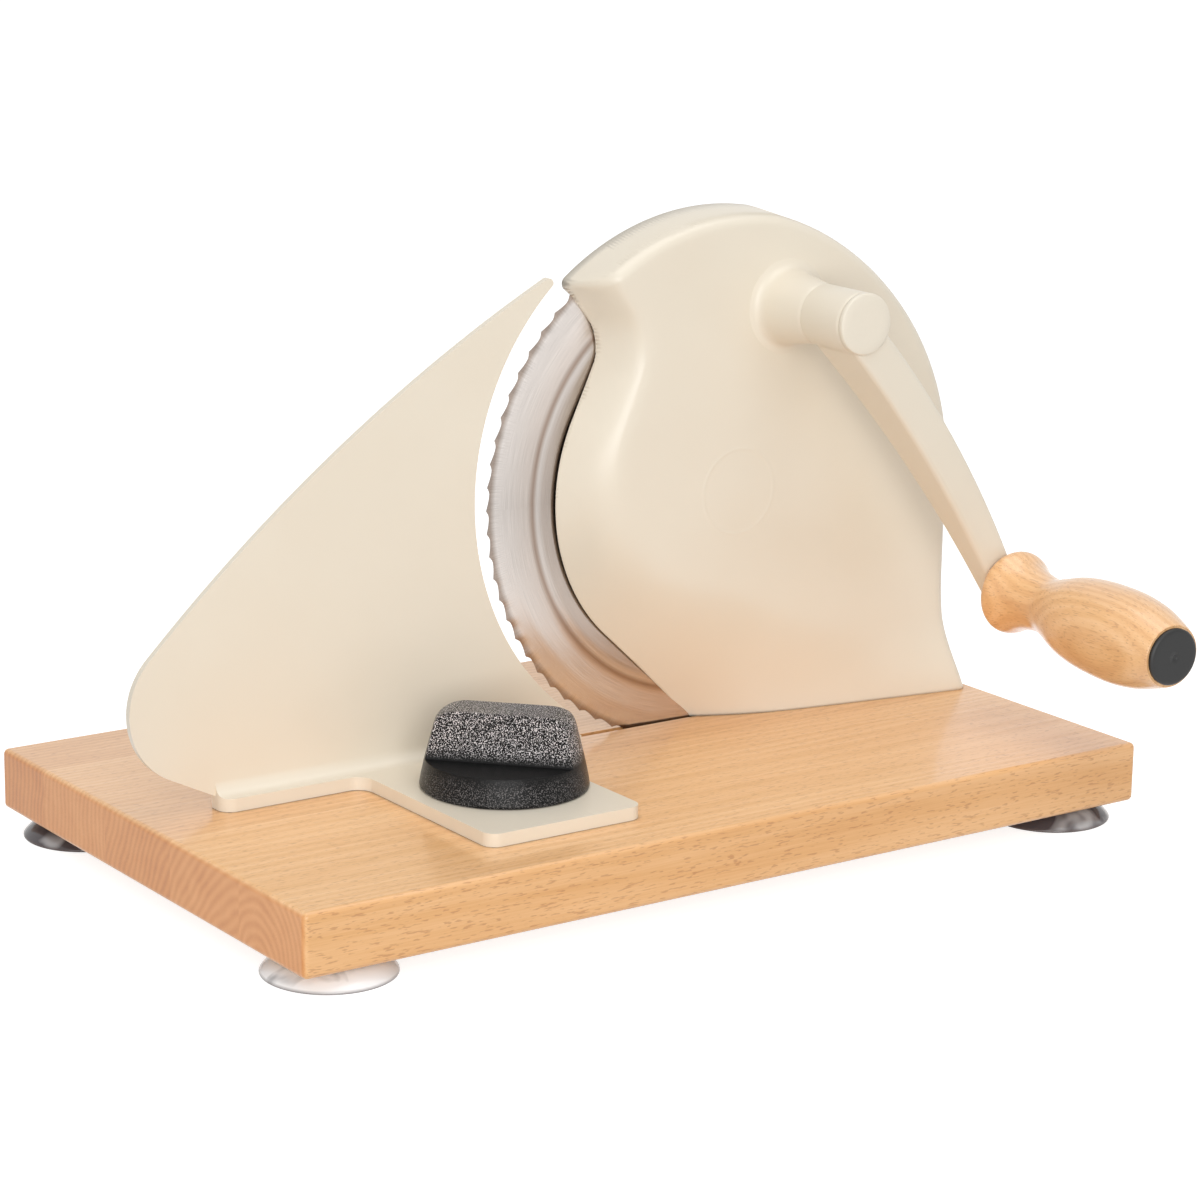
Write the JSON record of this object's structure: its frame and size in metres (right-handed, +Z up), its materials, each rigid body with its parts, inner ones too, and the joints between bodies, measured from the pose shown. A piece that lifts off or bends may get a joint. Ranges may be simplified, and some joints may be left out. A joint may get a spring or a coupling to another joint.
{
  "type": "bread slicer",
  "caption": "Hand cranked bread slicer: toothed round blade under a cast housing on a wooden board, with a sliding stop plate, a clamp knob and a geared crank with a turned wooden grip",
  "frame": {"origin": "middle of the outline, on the surface that the feet stand on", "axes": "+X along the board towards the housing, +Y away from the user, +Z up"},
  "size_m": [0.3549, 0.2505, 0.2212],
  "materials": {
    "beech": "satin varnished beech",
    "foot_rubber": "glossy pale grey soft rubber",
    "steel": "zinc plated steel",
    "galvanised_steel": "galvanised sheet steel",
    "cream_paint": "cream enamel on cast and sheet metal",
    "cream_plastic": "cream moulded cap",
    "bronze": "turned bearing bronze and brass",
    "black_plastic": "black moulded plastic with a fine grain",
    "blade_steel": "ground stainless steel",
    "gear_plastic": "moulded gear plastic"
  },
  "bodies": {
    "base": {"base_board": "beech", "foot_front_left": "foot_rubber", "foot_front_right": "foot_rubber", "foot_rear_left": "foot_rubber", "foot_rear_right": "foot_rubber", "foot_screws": "steel", "foot_washers": "steel", "housing_shell": "cream_paint", "gear_cover": "galvanised_steel", "cover_screws": "steel", "back_panel": "cream_paint", "panel_screws": "steel", "housing_screws": "steel", "housing_washers": "steel", "blade_axle": "steel", "axle_washer": "steel", "axle_screw": "steel", "crank_bush": "bronze"},
    "stop": {"stop_plate": "cream_paint", "guide_shoe": "black_plastic", "clamp_washer": "steel", "clamp_bolt": "steel"},
    "knob": {"clamp_knob": "black_plastic", "knob_insert": "bronze"},
    "blade": {"blade_disc": "blade_steel", "blade_gear": "gear_plastic", "blade_rivets": "steel"},
    "crank": {"crank_shaft": "steel", "crank_gear": "gear_plastic", "shaft_clip": "steel", "thrust_washer": "steel", "crank_arm": "cream_paint", "crank_screw": "steel", "hub_cap": "cream_plastic", "grip_pin": "steel"},
    "grip": {"handle_grip": "beech", "grip_bush": "bronze", "grip_cap": "black_plastic"}
  },
  "joints": [
    {"name": "stop_slide", "type": "slide", "parent": "base", "child": "stop", "axis": [0, 1, 0], "range_m": [-0.014, 0.0034]},
    {"name": "knob_turn", "type": "hinge", "parent": "stop", "child": "knob", "pos_m": [-0.0563, -0.02005, 0.0342], "axis": [0, 0, 1], "range_deg": [0, 180]},
    {"name": "crank_turn", "type": "hinge", "parent": "base", "child": "crank", "pos_m": [0.08356, -0.00125, 0.18382], "axis": [0, 1, 0], "continuous": true},
    {"name": "blade_turn", "type": "hinge", "parent": "base", "child": "blade", "pos_m": [0.0635, 0.02775, 0.1178], "axis": [0, 1, 0], "continuous": true},
    {"name": "grip_turn", "type": "hinge", "parent": "crank", "child": "grip", "pos_m": [0.16152, -0.03125, 0.07631], "axis": [0.0697, 0.997, 0.0349], "continuous": true}
  ],
  "couplings": [
    {"joint": "blade_turn", "follows": "crank_turn", "ratio": -0.53333}
  ]
}
